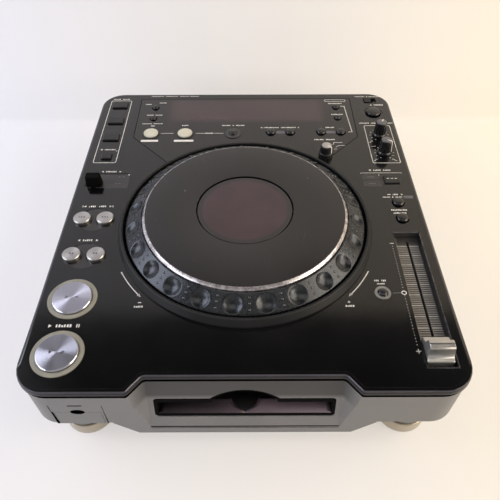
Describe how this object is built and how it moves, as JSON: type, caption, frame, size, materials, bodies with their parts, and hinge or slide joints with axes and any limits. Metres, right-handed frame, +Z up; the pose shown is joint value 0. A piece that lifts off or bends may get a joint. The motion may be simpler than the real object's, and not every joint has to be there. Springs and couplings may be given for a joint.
{
  "type": "tabletop disc player with jog wheel",
  "caption": "Flat tabletop disc player with a large dimpled jog wheel, front disc slot, pitch fader, backlit transport buttons and round rubber-padded feet.",
  "frame": {"origin": "centre of the outline, on the surface that the feet stand on", "axes": "+Z up, +Y to the rear connectors, +X to the user's right"},
  "size_m": [0.32, 0.37, 0.105],
  "materials": {
    "case_paint": "satin metallic",
    "rim_metal": "satin gunmetal",
    "panel_black": "gloss",
    "smoked": "gloss",
    "moulded_black": "satin",
    "jog_ring": "satin metallic",
    "touch_metal": "printed sheet on machined plate",
    "lit_ring": "translucent",
    "spun_cap": "spun",
    "silver_cap": "satin metallic",
    "pale_cap": "matt",
    "dark_cap": "satin",
    "gear_resin": "matt",
    "foot_gold": "satin",
    "rubber": "matt",
    "sheet_steel": "zinc plated",
    "circuit_board": "board",
    "jack_black": "matt"
  },
  "bodies": {
    "chassis": {"bottom_case": "case_paint", "top_rim": "rim_metal", "control_panel": "panel_black", "display_window": "smoked", "jog_collar": "panel_black", "jog_base": "moulded_black", "jog_window": "smoked", "button_rings": "lit_ring", "fader_unit": "sheet_steel", "feet": "foot_gold", "foot_pads": "rubber", "disc_bezel": "moulded_black", "drive_frame": "sheet_steel", "control_board": "circuit_board", "main_board": "circuit_board", "power_supply": "circuit_board", "rear_jacks": "jack_black", "ac_inlet": "jack_black", "card_socket": "sheet_steel"},
    "jog_dial": {"jog_dial": "jog_ring", "jog_ring_gear": "gear_resin"},
    "jog_plate": {"jog_plate": "touch_metal"},
    "encoder_gear": {"encoder_gear": "gear_resin"},
    "play_button": {"play_button": "spun_cap"},
    "cue_button": {"cue_button": "spun_cap"},
    "track_back_button": {"track_back_button": "silver_cap"},
    "track_forward_button": {"track_forward_button": "silver_cap"},
    "search_back_button": {"search_back_button": "silver_cap"},
    "search_forward_button": {"search_forward_button": "silver_cap"},
    "time_mode_button": {"time_mode_button": "silver_cap"},
    "text_mode_button": {"text_mode_button": "silver_cap"},
    "loop_in_button": {"loop_in_button": "pale_cap"},
    "loop_out_button": {"loop_out_button": "pale_cap"},
    "reloop_button": {"reloop_button": "silver_cap"},
    "folder_back_button": {"folder_back_button": "silver_cap"},
    "folder_forward_button": {"folder_forward_button": "silver_cap"},
    "call_back_button": {"call_back_button": "silver_cap"},
    "call_forward_button": {"call_forward_button": "silver_cap"},
    "memory_button": {"memory_button": "silver_cap"},
    "delete_button": {"delete_button": "silver_cap"},
    "eject_button": {"eject_button": "silver_cap"},
    "tempo_range_button": {"tempo_range_button": "silver_cap"},
    "master_tempo_button": {"master_tempo_button": "silver_cap"},
    "tempo_reset_button": {"tempo_reset_button": "silver_cap"},
    "hot_cue_a_button": {"hot_cue_a_button": "silver_cap"},
    "hot_cue_b_button": {"hot_cue_b_button": "silver_cap"},
    "hot_cue_c_button": {"hot_cue_c_button": "silver_cap"},
    "rec_mode_button": {"rec_mode_button": "silver_cap"},
    "jog_mode_button": {"jog_mode_button": "silver_cap"},
    "direction_lever": {"direction_lever": "dark_cap"},
    "lock_switch": {"lock_switch": "dark_cap"},
    "tempo_fader_cap": {"tempo_fader_cap": "silver_cap"},
    "jog_adjust_knob": {"jog_adjust_knob": "silver_cap"},
    "touch_brake_knob": {"touch_brake_knob": "dark_cap"},
    "release_start_knob": {"release_start_knob": "dark_cap"},
    "card_door": {"card_door": "case_paint"},
    "power_button": {"power_button": "dark_cap"},
    "turntable": {"turntable": "moulded_black"},
    "loading_roller": {"loading_roller": "rubber"},
    "pickup_sled": {"pickup_sled": "moulded_black"}
  },
  "joints": [
    {"name": "jog_spin", "type": "hinge", "parent": "chassis", "child": "jog_dial", "pos_m": [0, -0.0239, 0.087], "axis": [0, 0, 1], "continuous": true},
    {"name": "touch_press", "type": "slide", "parent": "jog_dial", "child": "jog_plate", "axis": [0, 0, -1], "range_m": [0, 0.0004], "stiffness_N_per_m": 12000, "springref_m": -0.0004},
    {"name": "encoder_spin", "type": "hinge", "parent": "chassis", "child": "encoder_gear", "pos_m": [0.06881, 0.02428, 0.087], "axis": [0, 0, 1], "continuous": true},
    {"name": "play_press", "type": "slide", "parent": "chassis", "child": "play_button", "axis": [0, 0, -1], "range_m": [0, 0.0006], "stiffness_N_per_m": 1500, "springref_m": -0.0004},
    {"name": "cue_press", "type": "slide", "parent": "chassis", "child": "cue_button", "axis": [0, 0, -1], "range_m": [0, 0.0006], "stiffness_N_per_m": 1500, "springref_m": -0.0004},
    {"name": "track_back_press", "type": "slide", "parent": "chassis", "child": "track_back_button", "axis": [0, 0, -1], "range_m": [0, 0.0006], "stiffness_N_per_m": 900, "springref_m": -0.0004},
    {"name": "track_forward_press", "type": "slide", "parent": "chassis", "child": "track_forward_button", "axis": [0, 0, -1], "range_m": [0, 0.0006], "stiffness_N_per_m": 900, "springref_m": -0.0004},
    {"name": "search_back_press", "type": "slide", "parent": "chassis", "child": "search_back_button", "axis": [0, 0, -1], "range_m": [0, 0.0006], "stiffness_N_per_m": 900, "springref_m": -0.0004},
    {"name": "search_forward_press", "type": "slide", "parent": "chassis", "child": "search_forward_button", "axis": [0, 0, -1], "range_m": [0, 0.0006], "stiffness_N_per_m": 900, "springref_m": -0.0004},
    {"name": "time_mode_press", "type": "slide", "parent": "chassis", "child": "time_mode_button", "axis": [0, 0, -1], "range_m": [0, 0.0006], "stiffness_N_per_m": 900, "springref_m": -0.0004},
    {"name": "text_mode_press", "type": "slide", "parent": "chassis", "child": "text_mode_button", "axis": [0, 0, -1], "range_m": [0, 0.0006], "stiffness_N_per_m": 900, "springref_m": -0.0004},
    {"name": "loop_in_press", "type": "slide", "parent": "chassis", "child": "loop_in_button", "axis": [0, 0, -1], "range_m": [0, 0.0006], "stiffness_N_per_m": 900, "springref_m": -0.0004},
    {"name": "loop_out_press", "type": "slide", "parent": "chassis", "child": "loop_out_button", "axis": [0, 0, -1], "range_m": [0, 0.0006], "stiffness_N_per_m": 900, "springref_m": -0.0004},
    {"name": "reloop_press", "type": "slide", "parent": "chassis", "child": "reloop_button", "axis": [0, 0, -1], "range_m": [0, 0.0006], "stiffness_N_per_m": 900, "springref_m": -0.0004},
    {"name": "folder_back_press", "type": "slide", "parent": "chassis", "child": "folder_back_button", "axis": [0, 0, -1], "range_m": [0, 0.0006], "stiffness_N_per_m": 900, "springref_m": -0.0004},
    {"name": "folder_forward_press", "type": "slide", "parent": "chassis", "child": "folder_forward_button", "axis": [0, 0, -1], "range_m": [0, 0.0006], "stiffness_N_per_m": 900, "springref_m": -0.0004},
    {"name": "call_back_press", "type": "slide", "parent": "chassis", "child": "call_back_button", "axis": [0, 0, -1], "range_m": [0, 0.0006], "stiffness_N_per_m": 900, "springref_m": -0.0004},
    {"name": "call_forward_press", "type": "slide", "parent": "chassis", "child": "call_forward_button", "axis": [0, 0, -1], "range_m": [0, 0.0006], "stiffness_N_per_m": 900, "springref_m": -0.0004},
    {"name": "memory_press", "type": "slide", "parent": "chassis", "child": "memory_button", "axis": [0, 0, -1], "range_m": [0, 0.0006], "stiffness_N_per_m": 900, "springref_m": -0.0004},
    {"name": "delete_press", "type": "slide", "parent": "chassis", "child": "delete_button", "axis": [0, 0, -1], "range_m": [0, 0.0006], "stiffness_N_per_m": 900, "springref_m": -0.0004},
    {"name": "eject_press", "type": "slide", "parent": "chassis", "child": "eject_button", "axis": [0, 0, -1], "range_m": [0, 0.0006], "stiffness_N_per_m": 900, "springref_m": -0.0004},
    {"name": "tempo_range_press", "type": "slide", "parent": "chassis", "child": "tempo_range_button", "axis": [0, 0, -1], "range_m": [0, 0.0006], "stiffness_N_per_m": 900, "springref_m": -0.0004},
    {"name": "master_tempo_press", "type": "slide", "parent": "chassis", "child": "master_tempo_button", "axis": [0, 0, -1], "range_m": [0, 0.0006], "stiffness_N_per_m": 900, "springref_m": -0.0004},
    {"name": "tempo_reset_press", "type": "slide", "parent": "chassis", "child": "tempo_reset_button", "axis": [0, 0, -1], "range_m": [0, 0.0006], "stiffness_N_per_m": 900, "springref_m": -0.0004},
    {"name": "hot_cue_a_press", "type": "slide", "parent": "chassis", "child": "hot_cue_a_button", "axis": [0, 0, -1], "range_m": [0, 0.0006], "stiffness_N_per_m": 900, "springref_m": -0.0004},
    {"name": "hot_cue_b_press", "type": "slide", "parent": "chassis", "child": "hot_cue_b_button", "axis": [0, 0, -1], "range_m": [0, 0.0006], "stiffness_N_per_m": 900, "springref_m": -0.0004},
    {"name": "hot_cue_c_press", "type": "slide", "parent": "chassis", "child": "hot_cue_c_button", "axis": [0, 0, -1], "range_m": [0, 0.0006], "stiffness_N_per_m": 900, "springref_m": -0.0004},
    {"name": "rec_mode_press", "type": "slide", "parent": "chassis", "child": "rec_mode_button", "axis": [0, 0, -1], "range_m": [0, 0.0006], "stiffness_N_per_m": 900, "springref_m": -0.0004},
    {"name": "jog_mode_press", "type": "slide", "parent": "chassis", "child": "jog_mode_button", "axis": [0, 0, -1], "range_m": [0, 0.0006], "stiffness_N_per_m": 900, "springref_m": -0.0004},
    {"name": "direction_slide", "type": "slide", "parent": "chassis", "child": "direction_lever", "axis": [0, 1, 0], "range_m": [0, 0.008]},
    {"name": "lock_slide", "type": "slide", "parent": "chassis", "child": "lock_switch", "axis": [1, 0, 0], "range_m": [0, 0.005]},
    {"name": "tempo_slide", "type": "slide", "parent": "chassis", "child": "tempo_fader_cap", "axis": [0, 1, 0], "range_m": [0, 0.1]},
    {"name": "jog_adjust_turn", "type": "hinge", "parent": "chassis", "child": "jog_adjust_knob", "pos_m": [0.07994, 0.07103, 0.087], "axis": [0, 0, 1], "range_deg": [-140, 140]},
    {"name": "touch_brake_turn", "type": "hinge", "parent": "chassis", "child": "touch_brake_knob", "pos_m": [0.139, 0.105, 0.087], "axis": [0, 0, 1], "range_deg": [-100, 180]},
    {"name": "release_start_turn", "type": "hinge", "parent": "chassis", "child": "release_start_knob", "pos_m": [0.139, 0.075, 0.087], "axis": [0, 0, 1], "range_deg": [-10, 270]},
    {"name": "card_door_hinge", "type": "hinge", "parent": "chassis", "child": "card_door", "pos_m": [-0.12, -0.1804, 0.04], "axis": [1, 0, 0], "range_deg": [0, 90]},
    {"name": "power_press", "type": "slide", "parent": "chassis", "child": "power_button", "axis": [0, -1, 0], "range_m": [0, 0.0015], "stiffness_N_per_m": 1500, "springref_m": -0.0004},
    {"name": "disc_spin", "type": "hinge", "parent": "chassis", "child": "turntable", "pos_m": [0, -0.086, 0.0485], "axis": [0, 0, 1], "continuous": true},
    {"name": "roller_spin", "type": "hinge", "parent": "chassis", "child": "loading_roller", "pos_m": [0, -0.152, 0.044], "axis": [1, 0, 0], "continuous": true},
    {"name": "sled_slide", "type": "slide", "parent": "chassis", "child": "pickup_sled", "axis": [1, 0, 0], "range_m": [0, 0.032]}
  ],
  "couplings": [
    {"joint": "encoder_spin", "follows": "jog_spin", "ratio": -3.6667}
  ]
}
